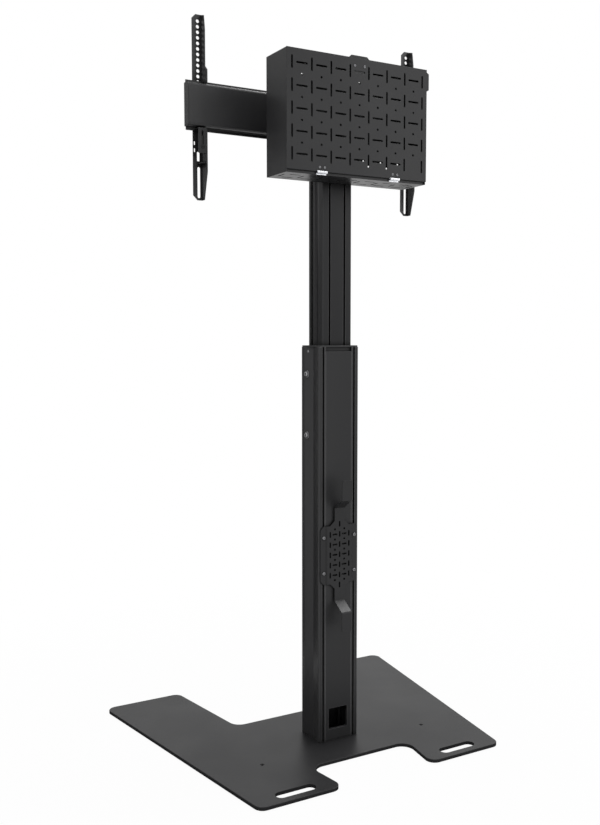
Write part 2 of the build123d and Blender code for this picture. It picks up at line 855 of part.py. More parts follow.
def hinge_pins():
    solids = []
    for x in (-hinge_x, hinge_x):
        ends = (x - hinge_width / 2, x + hinge_width / 2)
        solids.append(rod(hinge_pin_radius, (ends[0], hinge_y, hinge_z), (ends[1], hinge_y, hinge_z)))
    return solids


def cover_screw_spots():
    """Where screws pass through the cover: four for the hinges and two for the grip tab."""
    spots = [(x + s * hinge_screw_x, hinge_screw_z) for x in (-hinge_x, hinge_x) for s in (-1, 1)]
    return spots + [(x, box_top - tab_screw_drop) for x in (-tab_screw_x, tab_screw_x)]


def cover_screws():
    """Small screws through the cover into the hinge leaves and the grip tab."""
    solids = []
    for x, z in cover_screw_spots():
        place = (x, cover_rear, z)
        solids.append(screw(place, (0, 1, 0), cover_screw_radius, 2 * sheet, 3.1, 1.6))
    return solids


def media_cover():
    """Door of the media box: a perforated sheet with return flanges along three edges."""
    half = cover_width / 2
    face = span((-half, half), (cover_bottom, box_top))
    notch = hinge_width / 2 + sheet_gap
    for x in (-hinge_x, hinge_x):
        face -= span((x - notch, x + notch), (cover_bottom - 1, hinge_z + barrel_radius + slide_gap))
    tall_slot = SlotOverall(grid_slot_length, grid_slot_width, rotation=90)
    flat_slot = SlotOverall(grid_slot_length, grid_slot_width)
    corner = grid_spots(grid_columns - 1, grid_rows)[-(grid_columns - 1)]
    cuts = [Pos(*spot) * tall_slot for spot in grid_spots(grid_columns, grid_rows)]
    cuts += [Pos(*s) * flat_slot for s in grid_spots(grid_columns - 1, grid_rows) if s != corner]
    cuts += [Pos(*s) * Circle(grid_hole_radius) for s in grid_spots(grid_columns - 1, grid_rows - 1)]
    cuts += [Pos(*s) * Circle(cover_screw_radius + screw_gap) for s in cover_screw_spots()]
    door = along_y(face - cuts, cover_front, cover_rear)
    outer = box_width / 2 - sheet - sheet_gap
    ceiling = box_top - sheet - sheet_gap
    depth = (cover_front - return_depth, cover_front)
    low = hinge_z + leaf_height
    for side in (-1, 1):
        door += block(sorted((side * outer, side * (outer - sheet))), depth, (low, ceiling))
    door += block((-outer, outer), depth, (ceiling - sheet, ceiling))
    gap = tab_root_width / 2 + sheet_gap
    door -= block((-gap, gap), depth, (ceiling - tab_drop, box_top))
    low, high = side_tab_bottom - sheet_gap, side_tab_bottom + side_tab_height + sheet_gap
    return door - block((-half, side_tab_root - half), depth, (low, high))


def grip_tab():
    """Pull tab behind the top edge of the cover."""
    stem, root, tip = tab_stem_width / 2, tab_root_width / 2, tab_tip_width / 2
    face = shape(
        (-stem, box_top - tab_drop),
        (stem, box_top - tab_drop),
        (stem, box_top - tab_shoulder),
        (root, box_top - tab_shoulder),
        (root, box_top),
        (tip, box_top + tab_rise),
        (-tip, box_top + tab_rise),
        (-root, box_top),
        (-root, box_top - tab_shoulder),
        (-stem, box_top - tab_shoulder),
    )
    for x in (-tab_screw_x, tab_screw_x):
        face -= Pos(x, box_top - tab_screw_drop) * Circle(cover_screw_radius + screw_gap)
    return along_y(face, cover_front - sheet, cover_front)


def side_tab():
    """Second pull tab, behind the side edge of the cover."""
    edge = -cover_width / 2
    low, high = side_tab_bottom, side_tab_bottom + side_tab_height
    taper = (side_tab_height - side_tab_tip) / 2
    face = shape(
        (edge + side_tab_root, low),
        (edge + side_tab_root, high),
        (edge, high),
        (edge - side_tab_reach, high - taper),
        (edge - side_tab_reach, low + taper),
        (edge, low),
    )
    return along_y(face, cover_front - sheet, cover_front)


def bracket_flange():
    """Side flange of a screen bracket in (Y, Z): hooks over the bar's top lip, clears its front."""
    root = bracket_rear - bracket_sheet / 2
    clear = bar_front - slide_gap
    upper = bracket_rear + flange_upper_reach
    wide = bracket_rear + flange_hook_reach
    step = bar_top + flange_step_rise
    under_lip = bar_bottom - bottom_lip - slide_gap
    return shape(
        (root, bracket_bottom),
        (bracket_rear + flange_tail_reach, bracket_bottom),
        (tab_back, bracket_bottom + flange_taper),
        (tab_back, under_lip),
        (clear, under_lip),
        (clear, bar_top + top_lip + slide_gap),
        (lip_back + slide_gap, bar_top + top_lip + slide_gap),
        (lip_back + slide_gap, bar_top + hook_clear),
        (wide, bar_top + hook_clear),
        (wide, step - flange_step),
        (upper, step),
        (upper, bracket_top - flange_top_taper),
        (bracket_rear + flange_tip_reach, bracket_top - flange_top_drop),
        (root, bracket_top),
    )


def screen_bracket(x):
    """One upright that bolts to the screen, with its hole line at the given X."""
    free, inner = x + bracket_free_edge, x - bracket_flange_edge
    face = shape(
        (inner, bracket_bottom),
        (free - bracket_tail_chamfer, bracket_bottom),
        (free, bracket_bottom + bracket_tail_chamfer),
        (free, bracket_top - bracket_chamfer),
        (free - bracket_chamfer, bracket_top),
        (inner, bracket_top),
    )
    holes = [Pos(x, bracket_top - top_hole_inset - i * hole_pitch) for i in range(hole_count)]
    face -= [spot * Circle(hole_radius) for spot in holes]
    middle = bracket_bottom + tail_slot_inset + tail_slot_length / 2
    face -= Pos(x, middle) * SlotOverall(tail_slot_length, tail_slot_width, rotation=90)
    middle = bracket_bottom + window_inset + window_height / 2
    face -= Pos(x + 1, middle) * RectangleRounded(window_width, window_height, 2)
    for rise in side_hole_rises:
        side_hole = SlotOverall(side_hole_length, side_hole_width, rotation=90)
        face -= Pos(x + side_hole_x, lock_bottom + rise) * side_hole
    bracket = along_y(face, bracket_front, bracket_rear)
    bracket += along_x(bracket_flange(), inner, inner + bracket_sheet)
    tab_depth = (tab_back - bracket_sheet, tab_back)
    bracket += block((inner, free - bracket_sheet), tab_depth, (lock_bottom, lock_tab_top))
    rib_z = lock_bottom - rib_drop
    rib_reach = (bracket_rear - bracket_sheet / 2, bracket_rear + rib_depth)
    bracket += block((inner, x + lock_slot_offset), rib_reach, (rib_z, rib_z + bracket_sheet))
    hole = (x + lock_slot_offset, tab_back + 1, lock_screw_z)
    inside = (hole[0], tab_back - 2 * bracket_sheet, lock_screw_z)
    return bracket - rod(lock_screw_radius + screw_gap, hole, inside)


def lock_plate(x):
    """Latch on a screen bracket: its bent top catches the bar's bottom lip until it is drawn down."""
    wide = (x - bracket_flange_edge + bracket_sheet + slide_gap, x + bracket_free_edge)
    face = span(wide, (lock_bottom, lock_top))
    corners = [v for v in face.vertices() if v.Y < lock_bottom + 1]
    face = fillet(corners, lock_corner)
    low = lock_screw_z - lock_slot_width / 2
    slot = SlotOverall(lock_slot_length, lock_slot_width, rotation=90)
    face -= Pos(x + lock_slot_offset, low + lock_slot_length / 2) * slot
    plate = along_y(face, lock_front, lock_back)
    catch = block(wide, (lip_back + slide_gap, lock_back), (lock_top - bracket_sheet, lock_top))
    return plate + catch


def lock_screw(x):
    """Shoulder screw that the locking plate slides on."""
    seat = (x + lock_slot_offset, lock_back + seat_gap, lock_screw_z)
    length = seat[1] - tab_back + bracket_sheet
    return screw(seat, (0, 1, 0), lock_screw_radius, length, lock_head_radius, lock_head_height)


def hanger():
    """Slotted cable bracket: a stepped plate with a flared hook above and below."""
    half = hanger_width / 2
    middle = hanger_middle / 2
    low = hanger_front + hanger_sheet / 2
    high = low + hanger_step
    path = Polyline(
        (-half, low), (-middle - hanger_step, low), (-middle, high),
        (middle, high), (middle + hanger_step, low), (half, low),
    )
    bottom = hanger_centre - hanger_height / 2
    top = hanger_centre + hanger_height / 2
    plate = along_z(trace(path, hanger_sheet), bottom, top)
    frame = Pos(0, hanger_centre) * Rectangle(hanger_width, hanger_height)
    plate = plate & along_y(chamfer(frame.vertices(), hanger_corner), 0, outer_depth)
    hook = FilletPolyline(
        (high, top - 1),
        (high, top + neck_length),
        (high + hook_reach, top + neck_length + hook_rise),
        (high + hook_reach, top + neck_length + hook_rise + hook_lip),
        radius=hook_bend,
    )
    root, neck = hanger_root / 2, neck_width / 2
    tip = top + neck_length + hook_rise + hook_lip
    cut = hook_chamfer
    outline = shape(
        (-root, top - 1), (root, top - 1), (neck, top + neck_taper), (neck, tip - cut), (neck - cut, tip),
        (cut - neck, tip), (-neck, tip - cut), (-neck, top + neck_taper),
    )
    hook = along_x(trace(hook, hanger_sheet), -half, half) & along_y(outline, 0, 2 * outer_depth)
    plate += hook
    plate += mirror(hook, Plane((0, 0, hanger_centre), z_dir=(0, 0, 1)))
    tall = SlotOverall(hanger_slot_length, hanger_slot_width, rotation=90)
    flat = SlotOverall(hanger_slot_length, hanger_slot_width)
    cuts = []
    for row in range(-3, 4):
        z = hanger_centre + row * hanger_pitch_z
        cuts.append(Pos(0, z) * tall)
        if abs(row) < 3:
            cuts += [Pos(x * hanger_pitch_x, z) * tall for x in (-2, 2)]
            cuts += [Pos(x * hanger_pitch_x, z) * flat for x in (-1, 1)]
        if row < 3:
            dot = z + hanger_pitch_z / 2
            cuts += [Pos(x * hanger_pitch_x, dot) * Circle(hanger_dot_radius) for x in (-1, 1)]
    plate -= along_y(Sketch() + cuts, outer_depth / 2, outer_depth)
    for x, z in hanger_screw_spots():
        plate -= rod(screw_radius + screw_gap, (x, 0, z), (x, outer_depth, z))
    return plate


def hanger_screw_spots():
    heights = (hanger_centre - hanger_screw_z, hanger_centre + hanger_screw_z)
    return [(x, z) for x in (-outer_slot_x, outer_slot_x) for z in heights]


def hanger_screws():
    """Screws of the cable bracket."""
    length = hanger_back - outer_depth / 2 + slot_lip + seat_gap + nut_thickness - 2 * screw_gap
    return [
        screw((x, hanger_back, z), (0, 1, 0), screw_radius, length, screw_head_radius, screw_head_height)
        for x, z in hanger_screw_spots()
    ]


def hanger_nuts():
    """Nuts of the cable bracket in the rear slots of the lower column."""
    lip = outer_depth / 2 - slot_lip - seat_gap
    return [slot_nut(x, lip, z, 0) for x, z in hanger_screw_spots()]


os.makedirs("parts", exist_ok=True)
nodes = {
    "base_plate": base_plate(),
    "foot_pads": foot_pads(),
    "levelling_screws": levelling_screws(),
    "column_screws": column_screws(),
    "lower_column": lower_column(),
    "column_cover_strip": cover_strip(),
    "glide_liner": glide_liner(),
    "liner_screw": liner_screw(),
    "clamp_washers": clamp_washers(),
    "clamp_pads": clamp_pads(),
    "clamp_nuts": clamp_nuts(),
    "clamp_bolt_upper": clamp_bolt(clamp_heights[0]),
    "clamp_bolt_lower": clamp_bolt(clamp_heights[1]),
    "upper_column": upper_column(),
    "guide_block": guide_block(),
    "mast_cap": mast_cap(),
    "mast_spacer": mast_spacer(),
    "mast_nuts": mast_nuts(),
    "cross_bar": cross_bar(),
    "bar_bolts": bar_bolts(),
    "bar_cap_left": bar_cap(1),
    "bar_cap_right": bar_cap(-1),
    "media_box": media_box(),
    "box_screws": box_screws(),
    "box_hinge_leaves": box_leaves(),
    "hinge_pins": hinge_pins(),
    "media_cover": media_cover(),
    "cover_hinge_leaves": cover_leaves(),
    "cover_screws": cover_screws(),
    "cover_grip_tab": grip_tab(),
    "cover_side_tab": side_tab(),
    "cable_bracket": hanger(),
    "cable_bracket_screws": hanger_screws(),
    "cable_bracket_nuts": hanger_nuts(),
    "screen_bracket_left": screen_bracket(screen_spread / 2),
    "screen_bracket_right": screen_bracket(-screen_spread / 2),
    "lock_plate_left": lock_plate(screen_spread / 2),
    "lock_plate_right": lock_plate(-screen_spread / 2),
    "lock_screw_left": lock_screw(screen_spread / 2),
    "lock_screw_right": lock_screw(-screen_spread / 2),
}
for name, solid in nodes.items():
    if isinstance(solid, list):
        solid = Compound(children=[one.solid() for one in solid])
    solid.label = name
    export_step(solid, f"parts/{name}.step")
    print(name, round(solid.volume / 1000, 1))
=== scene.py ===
import math

import bmesh
import bpy
import numpy as np
from mathutils import Matrix, Vector


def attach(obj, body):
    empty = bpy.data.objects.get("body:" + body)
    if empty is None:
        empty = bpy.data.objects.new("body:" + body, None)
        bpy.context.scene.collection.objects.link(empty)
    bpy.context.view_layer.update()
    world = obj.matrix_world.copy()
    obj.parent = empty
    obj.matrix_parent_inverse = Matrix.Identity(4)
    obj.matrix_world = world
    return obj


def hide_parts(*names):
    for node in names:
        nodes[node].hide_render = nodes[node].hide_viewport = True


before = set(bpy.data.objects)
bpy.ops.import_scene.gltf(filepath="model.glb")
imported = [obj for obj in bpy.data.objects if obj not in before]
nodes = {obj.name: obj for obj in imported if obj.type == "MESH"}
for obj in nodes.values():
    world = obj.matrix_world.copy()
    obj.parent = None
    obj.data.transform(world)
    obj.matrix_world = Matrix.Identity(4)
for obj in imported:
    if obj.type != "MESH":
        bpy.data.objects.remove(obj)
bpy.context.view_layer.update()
print("frame loaded:", len(nodes), "nodes")

millimetre = 0.001  # pieces are drawn in millimetres, and the frame is in metres


class Wire:
    # one output socket; arithmetic on it adds Math nodes to the same tree
    def __init__(self, shading, socket):
        self.shading = shading
        self.socket = socket

    def math(self, operation, *values):
        return self.shading.add("ShaderNodeMath", {"operation": operation}, dict(enumerate(values)))

    def __add__(self, other):
        return self.math("ADD", self, other)

    def __radd__(self, other):
        return self.math("ADD", other, self)

    def __sub__(self, other):
        return self.math("SUBTRACT", self, other)

    def __rsub__(self, other):
        return self.math("SUBTRACT", other, self)

    def __mul__(self, other):
        return self.math("MULTIPLY", self, other)

    def __rmul__(self, other):
        return self.math("MULTIPLY", other, self)

    def __pow__(self, other):
        return self.math("POWER", self, other)

    def __rpow__(self, other):
        return self.math("POWER", other, self)


class Shading:
    # the node tree of a material or of the surround; add() makes any node in it
    def __init__(self, tree):
        self.tree = tree

    def link(self, value, socket):
        if isinstance(value, Wire):
            self.tree.links.new(value.socket, socket)
        else:
            socket.default_value = value

    def add(self, kind, settings=None, inputs=None, output=0):
        node = self.tree.nodes.new(kind)
        for key, value in (settings or {}).items():
            setattr(node, key, value)
        for key, value in (inputs or {}).items():
            self.link(value, node.inputs[key])
        return Wire(self, node.outputs[output])

    def seenDirectly(self):
        # 1 for what the camera, a reflection or a view through glass picks up, and 0 for soft light
        camera, mirrored, through = (
            self.add("ShaderNodeLightPath", output=f"Is {ray} Ray")
            for ray in ("Camera", "Glossy", "Transmission")
        )
        seen = camera + mirrored + through
        return seen.math("MINIMUM", seen, 1.0)


# where a noise's values mostly lie, and the rays that feel for a soft edge, and for a painted edge
# highlight or a groove
noiseSpan = (0.3, 0.7)
edgeRays = 4
shareRays = 6


class Finish(Shading):
    # a material with one Principled shader
    def __init__(self, name):
        self.material = bpy.data.materials.new(name)
        self.material.use_nodes = True
        super().__init__(self.material.node_tree)
        self.shader = self.tree.nodes["Principled BSDF"]

    def set(self, **values):
        for key, value in values.items():
            self.link(value, self.shader.inputs[key.replace("_", " ")])

    def place(self, scale=(1, 1, 1)):
        where = self.add("ShaderNodeTexCoord", output="Object")
        return self.add("ShaderNodeMapping", {}, {"Vector": where, "Scale": scale})

    def noise(self, place, scale, detail=3.0, roughness=0.5):
        values = {"Vector": place, "Scale": scale, "Detail": detail, "Roughness": roughness}
        return self.add("ShaderNodeTexNoise", {}, values)

    def band(self, value, ends, span=noiseSpan):
        # carries the value's span over to the ends, and holds it there
        values = {
            "Value": value, "From Min": span[0], "From Max": span[1], "To Min": ends[0],
            "To Max": ends[1],
        }
        return self.add("ShaderNodeMapRange", {"clamp": True}, values)

    def blend(self, factor, first, second):
        # from the first colour, at 0, to the second, at 1; each is three numbers or a wire. The
        # node's sockets for colours are its inputs 6 and 7 and its output 2
        colours = [end if isinstance(end, Wire) else (*end, 1) for end in (first, second)]
        values = {0: factor, 6: colours[0], 7: colours[1]}
        return self.add("ShaderNodeMix", {"data_type": "RGBA"}, values, 2)

    def bump(self, height, distance, normal=None):
        values = {"Height": height, "Distance": distance, "Strength": 1.0}
        if normal is not None:
            values["Normal"] = normal
        return self.add("ShaderNodeBump", {}, values)

    def softEdge(self, radius):
        return self.add("ShaderNodeBevel", {"samples": edgeRays}, {"Radius": radius})

    def edgeShare(self, radius, gain):
        # 0 on a flat, up to 1 at an edge: the gain times how far the rounded normal leans over
        true = self.add("ShaderNodeNewGeometry", output="Normal")
        rounded = self.add("ShaderNodeBevel", {"samples": shareRays}, {"Radius": radius})
        ends = {0: rounded, 1: true}
        apart = self.add("ShaderNodeVectorMath", {"operation": "DISTANCE"}, ends, "Value")
        return apart.math("MINIMUM", apart * gain, 1.0)

    def openShare(self, reach):
        # 1 on an outer face, towards 0 down in a groove narrower than the reach: the square of how
        # much of the sky a point sees
        feel = {"samples": shareRays}
        sky = self.add("ShaderNodeAmbientOcclusion", feel, {"Distance": reach}, "AO")
        return sky ** 2


def powderCoat(name, look):
    # baked powder: a fine orange peel in the bump, a faint cloudiness in colour and gloss, and
    # painted shade darkening the colour in grooves
    finish = Finish(name)
    place = finish.place()
    grain = finish.noise(place, look["grain"], detail=2.0)
    cloud = finish.noise(place, look["cloud"])
    coat = finish.blend(cloud, *look["colours"])
    finish.set(
        # painted shade: the colour goes to the groove shade colour where a point sees little of the
        # sky
        Base_Color=finish.blend(finish.openShare(look["groove"]), look["paintedGrooveShade"], coat),
        Roughness=finish.band(cloud, look["roughness"]),
        Normal=finish.bump(grain, look["peel"], finish.softEdge(look["edge"])),
        Specular_IOR_Level=look["gloss"],
    )
    return finish.material


# how every extrusion takes its dye: die lines drawn out along Z, a little grain over them and
# grooves left duller; and the gain of the painted highlight that lightens its edges
extruding = {"stretch": (1, 1, 0.004), "grainShare": 0.4, "paintedHighlightGain": 1.6, "grooveDull": 0.5}


def anodised(name, look):
    # extruded aluminium, dyed black, with a painted highlight along its edges and painted shade in
    # its grooves
    finish = Finish(name)
    drawn = finish.place(extruding["stretch"])
    lines = finish.noise(drawn, look["lines"], detail=4.0, roughness=0.6)
    fine = finish.noise(finish.place(), look["grain"], detail=2.0)
    outer = finish.openShare(look["groove"])
    # painted highlight: the colour is lightened towards the bright colour along edges, but not down
    # in grooves
    paintedEdgeHighlight = finish.edgeShare(look["paintedEdgeHighlight"], extruding["paintedHighlightGain"]) * outer
    # painted shade: the dyed colour goes darker down in grooves, where a point sees little of the
    # sky
    dyed = finish.blend(outer, look["paintedGrooveShade"], finish.blend(lines, *look["colours"]))
    dull = (1 - outer) * extruding["grooveDull"]
    relief = lines + fine * extruding["grainShare"]
    finish.set(
        Base_Color=finish.blend(paintedEdgeHighlight, dyed, look["bright"]),
        Roughness=finish.band(lines, look["roughness"]) + dull,
        Normal=finish.bump(relief, look["depth"], finish.softEdge(look["edge"])),
        Specular_IOR_Level=look["gloss"],
    )
    return finish.material


# how every plated piece is drawn: faint lines across Y, and the span that patches and lines take
# together
plating = {"stretch": (1, 6, 1), "lineShare": 0.5, "span": (0.1, 1.0)}


def plated(name, look):
    # zinc, bright steel or black oxide: small cloudy patches, faint draw lines
    finish = Finish(name)
    cells = {"Vector": finish.place(), "Scale": look["patch"]}
    patches = finish.add("ShaderNodeTexVoronoi", {}, cells)
    fine = finish.noise(finish.place(plating["stretch"]), look["grain"])
    dark, light = look["colours"]
    cloudy = patches + fine * plating["lineShare"]
    finish.set(
        Base_Color=finish.blend(patches, light, dark),
        Roughness=finish.band(cloudy, look["roughness"], plating["span"]),
        Normal=finish.bump(fine, look["depth"]),
        Metallic=look["metal"],
    )
    return finish.material


def moulded(name, look):
    # moulded plastic, rubber or a casting: spark-eroded or sanded texture
    finish = Finish(name)
    place = finish.place()
    grain = finish.noise(place, look["grain"], roughness=0.6)
    cloud = finish.noise(place, look["cloud"], detail=2.0)
    finish.set(
        Base_Color=finish.blend(cloud, *look["colours"]),
        Roughness=finish.band(grain, look["roughness"]),
        Normal=finish.bump(grain, look["depth"], finish.softEdge(look["edge"])),
    )
    return finish.material


# grains, clouds, lines and patches are counted per metre; peels, depths, edges, grooves and how
# far a painted edge highlight reaches are in metres
# deep is the colour of painted shade down in grooves and recesses
powder = dict(edge=0.0008, paintedGrooveShade=(0.005, 0.005, 0.005))
# bright is the colour of the painted highlight along an extrusion's edges
extrusion = dict(
    lines=900, grain=2500, roughness=(0.32, 0.42), depth=0.00003, edge=0.0008, paintedEdgeHighlight=0.0016,
    bright=(0.17, 0.17, 0.172), groove=0.014, paintedGrooveShade=(0.004, 0.004, 0.004))
steel = dict(patch=900, grain=3400, roughness=(0.26, 0.38), depth=0.00002, metal=1.0)
looks = {
    "sheetBlack": dict(
        powder, grain=1500, cloud=9, colours=((0.020, 0.020, 0.021), (0.026, 0.026, 0.027)),
        roughness=(0.32, 0.40), peel=0.00006, edge=0.0007, gloss=0.26, groove=0.006),
    "plateBlack": dict(
        powder, grain=1300, cloud=5, colours=((0.020, 0.020, 0.021), (0.027, 0.027, 0.028)),
        roughness=(0.36, 0.46), peel=0.00007, gloss=0.23, groove=0.004),
    "barBlack": dict(
        powder, grain=1500, cloud=7, colours=((0.024, 0.024, 0.025), (0.030, 0.030, 0.031)),
        roughness=(0.34, 0.42), peel=0.00006, gloss=0.45, groove=0.016, paintedGrooveShade=(0.004, 0.004, 0.004)),
    "columnBlack": dict(
        extrusion, colours=((0.022, 0.022, 0.023), (0.031, 0.031, 0.032)), gloss=0.29),
    "mastBlack": dict(
        extrusion, colours=((0.014, 0.014, 0.015), (0.019, 0.019, 0.020)), gloss=0.22),
    # the strip's painted edge highlight is dimmer
    "stripBlack": dict(
        extrusion, lines=700, grain=1800, colours=((0.025, 0.025, 0.026), (0.031, 0.031, 0.032)),
        roughness=(0.40, 0.48), depth=0.00002, edge=0.0004, gloss=0.25,
        bright=(0.12, 0.12, 0.122), groove=0.006),
    "zinc": dict(
        patch=700, grain=3000, colours=((0.62, 0.63, 0.66), (0.83, 0.84, 0.86)),
        roughness=(0.22, 0.38), depth=0.00002, metal=1.0),
    "brightSteel": dict(steel, colours=((0.15, 0.15, 0.155), (0.24, 0.24, 0.25))),
    "boltSteel": dict(steel, colours=((0.25, 0.25, 0.255), (0.38, 0.38, 0.39))),
    "oxide": dict(
        patch=900, grain=3000, colours=((0.02, 0.02, 0.021), (0.04, 0.04, 0.042)),
        roughness=(0.30, 0.45), depth=0.00002, metal=0.6),
    "plastic": dict(
        grain=1400, cloud=14, colours=((0.014, 0.014, 0.015), (0.019, 0.019, 0.020)),
        roughness=(0.46, 0.58), depth=0.00005, edge=0.0005),
    "rubber": dict(
        grain=900, cloud=20, colours=((0.016, 0.016, 0.016), (0.024, 0.024, 0.024)),
        roughness=(0.72, 0.85), depth=0.00008, edge=0.0005),
    "casting": dict(
        grain=700, cloud=12, colours=((0.03, 0.03, 0.031), (0.045, 0.045, 0.046)),
        roughness=(0.5, 0.62), depth=0.0001, edge=0.0006),
}
makers = {
    powderCoat: ["sheetBlack", "plateBlack", "barBlack"],
    anodised: ["columnBlack", "mastBlack", "stripBlack"],
    plated: ["zinc", "brightSteel", "boltSteel", "oxide"],
    moulded: ["plastic", "rubber", "casting"],
}
finishes = {name: make(name, looks[name]) for make, names in makers.items() for name in names}
wears = {
    "sheetBlack": ["media_box", "media_cover", "cover_grip_tab", "cover_side_tab", "cable_bracket"],
    "plateBlack": ["base_plate"],
    "barBlack": ["cross_bar", "screen_bracket_left", "screen_bracket_right", "lock_plate_left",
                 "lock_plate_right"],
    "columnBlack": ["lower_column"],
    "mastBlack": ["upper_column"],
    "stripBlack": ["column_cover_strip"],
    "zinc": ["box_hinge_leaves", "cover_hinge_leaves", "hinge_pins", "mast_nuts",
             "cable_bracket_nuts", "clamp_nuts"],
    "brightSteel": ["bar_bolts", "box_screws", "column_screws", "cover_screws",
                    "cable_bracket_screws"],
    "boltSteel": ["clamp_bolt_upper", "clamp_bolt_lower", "clamp_washers", "liner_screw"],
    "oxide": ["levelling_screws", "lock_screw_left", "lock_screw_right"],
    "plastic": ["bar_cap_left", "bar_cap_right", "mast_cap", "guide_block", "glide_liner",
                "clamp_pads"],
    "rubber": ["foot_pads"],
    "casting": ["mast_spacer"],
}
for finishName, members in wears.items():
    for member in members:
        slots = nodes[member].data.materials
        slots.clear()
        slots.append(finishes[finishName])
print("finishes given to", sum(len(members) for members in wears.values()), "nodes")


def placed(name, data):
    # a new object in the scene
    thing = bpy.data.objects.new(name, data)
    bpy.context.scene.collection.objects.link(thing)
    return thing


# points nearer than this, in metres, are one; sharper edges than this stay crisp
weldReach = 1e-7
crispAngle = math.radians(32)


def closedSurface(name, grid, part, ringed=False):
    # rows of points round an axis, one grid for each copy: the columns close on themselves, and the
    # first and last rows are poles, or close on each other when the surface is a ring
    count, rows, columns = grid.shape[:3]
    row = np.arange(rows if ringed else rows - 1)[:, None]
    column = np.arange(columns)[None, :]
    nextRow, nextColumn = (row + 1) % rows, (column + 1) % columns
    quads = np.stack([
        row * columns + column, row * columns + nextColumn,
        nextRow * columns + nextColumn, nextRow * columns + column,
    ], axis=-1).reshape(-1, 4)
    quads = (quads[None] + (np.arange(count) * rows * columns)[:, None, None]).reshape(-1, 4)
    mesh = bpy.data.meshes.new(name)
    mesh.vertices.add(count * rows * columns)
    mesh.vertices.foreach_set("co", grid.reshape(-1).astype(np.float32))
    mesh.loops.add(quads.size)
    mesh.loops.foreach_set("vertex_index", quads.reshape(-1).astype(np.int32))
    mesh.polygons.add(len(quads))
    mesh.polygons.foreach_set("loop_start", np.arange(0, quads.size, 4, dtype=np.int32))
    mesh.update(calc_edges=True)
    weld = bmesh.new()
    weld.from_mesh(mesh)
    bmesh.ops.remove_doubles(weld, verts=weld.verts, dist=weldReach)
    weld.to_mesh(mesh)
    weld.free()
    mesh.polygons.foreach_set("use_smooth", np.ones(len(mesh.polygons), dtype=bool))
    mesh.set_sharp_from_angle(angle=crispAngle)
    mesh.materials.append(finishes[part["finish"]])
    piece = placed(name, mesh)
    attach(piece, part["body"])
    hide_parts(part["node"])


def solidSeats(part):
    # the part's node keeps its equal solids one after the other, so that its vertices split evenly.
    # Each solid's box gives a seat: the box's middle across the axis and, along it, the far end
    # less the height of what stands over the seat. With the seats comes the length below one, all
    # in millimetres and to the micrometre
    vertices = nodes[part["node"]].data.vertices
    points = np.empty(len(vertices) * 3, np.float32)
    vertices.foreach_get("co", points)
    solids = points.reshape(part["count"], -1, 3).astype(float) / millimetre
    low, high = solids.min(axis=1), solids.max(axis=1)
    outward = np.array(part["outward"], float)
    along = np.abs(outward).argmax()
    far = high if outward[along] > 0 else low
    seats = (low + high) / 2
    seats[:, along] = far[:, along] - outward[along] * part["height"]
    length = (high - low)[0, along] - part["height"]
    return seats.round(3), length.round(3)


def turnedGrid(rings, seats, outward, sides):
    # turned part: point (i, j) stands at height i along the axis, radius i out towards angle j;
    # ring i's third number draws the circle in to the flats of a hexagon, whose radius towards
    # an angle is the corner radius times cos 30 over the cosine of the angle from the flat
    height, radius, flat = (values[:, None] for values in np.array(rings, float).T)
    angle = np.arange(sides)[None, :] * 2 * np.pi / sides
    hexagon = math.cos(math.pi / 6) / np.cos(angle % (math.pi / 3) - math.pi / 6)
    reach = radius * (1 + flat * (hexagon - 1))
    axis = np.array(outward, float)
    across = np.roll(axis, 1)
    over = np.cross(axis, across)
    offset = height[..., None] * axis + (reach * np.cos(angle))[..., None] * across
    offset = offset + (reach * np.sin(angle))[..., None] * over
    return (seats[:, None, None, :] + offset[None]) * millimetre


# every screw: radii of shank, head and key, and the head's height over its seat, in millimetres;
# under is how far below the seat the shank starts
clampBolt = dict(
    count=1, outward=(1, 0, 0), shank=4.0, head=6.6, height=4.6, key=3.2, under=0.0,
    finish="boltSteel", slot="zinc_steel")
slotScrew = dict(
    count=4, shank=2.4, head=4.6, height=2.8, key=2.1, under=0.0, finish="brightSteel",
    slot="zinc_steel")
lockScrew = dict(
    count=1, outward=(0, 1, 0), shank=2.4, head=4.4, height=2.0, key=2.0, under=0.0,
    finish="oxide", slot="black_steel")
screws = {
    "clampBoltUpper": dict(clampBolt, node="clamp_bolt_upper", body="clamp_bolt_upper"),
    "clampBoltLower": dict(clampBolt, node="clamp_bolt_lower", body="clamp_bolt_lower"),
    "linerScrew": dict(
        clampBolt, node="liner_screw", body="base", shank=1.8, head=3.7, height=1.8, key=1.5),
    "cableBracketScrews": dict(
        slotScrew, node="cable_bracket_screws", body="cable_bracket", outward=(0, 1, 0)),
    "coverScrews": dict(
        slotScrew, node="cover_screws", body="cover", count=6, outward=(0, 1, 0), shank=1.6,
        head=3.1, height=1.6, key=1.3),
    "barBolts": dict(slotScrew, node="bar_bolts", body="mast", outward=(0, -1, 0)),
    "boxScrews": dict(slotScrew, node="box_screws", body="mast", outward=(0, 1, 0)),
    "lockScrewLeft": dict(lockScrew, node="lock_screw_left", body="bracket_left"),
    "lockScrewRight": dict(lockScrew, node="lock_screw_right", body="bracket_right"),
    "levellingScrews": dict(
        lockScrew, node="levelling_screws", body="base", count=2, outward=(0, 0, 1), shank=5.0,
        head=5.0, height=0.5, key=2.9),
    "columnScrews": dict(
        slotScrew, node="column_screws", body="base", outward=(0, 0, -1), shank=2.5, head=4.9,
        height=0.0, key=1.9, under=2.5),
}
# what all screws share. Of the shank's radius: the tip's radius and the chamfer's length. The rim's
# height, of the head's and at most in millimetres, and how far the head draws in under it, of the
# rim. Of the key's radius: its mouth, and how far below the head's top it starts, ends and comes to
# a point
screwForm = {
    "tip": 0.82, "chamfer": 0.2, "rim": 0.18, "rimMost": 0.5, "rimIn": 0.5, "mouth": 1.22,
    "keyTop": 0.12, "keyFloor": 1.05, "keyPoint": 1.45, "crownSteps": 8, "sides": 48,
}


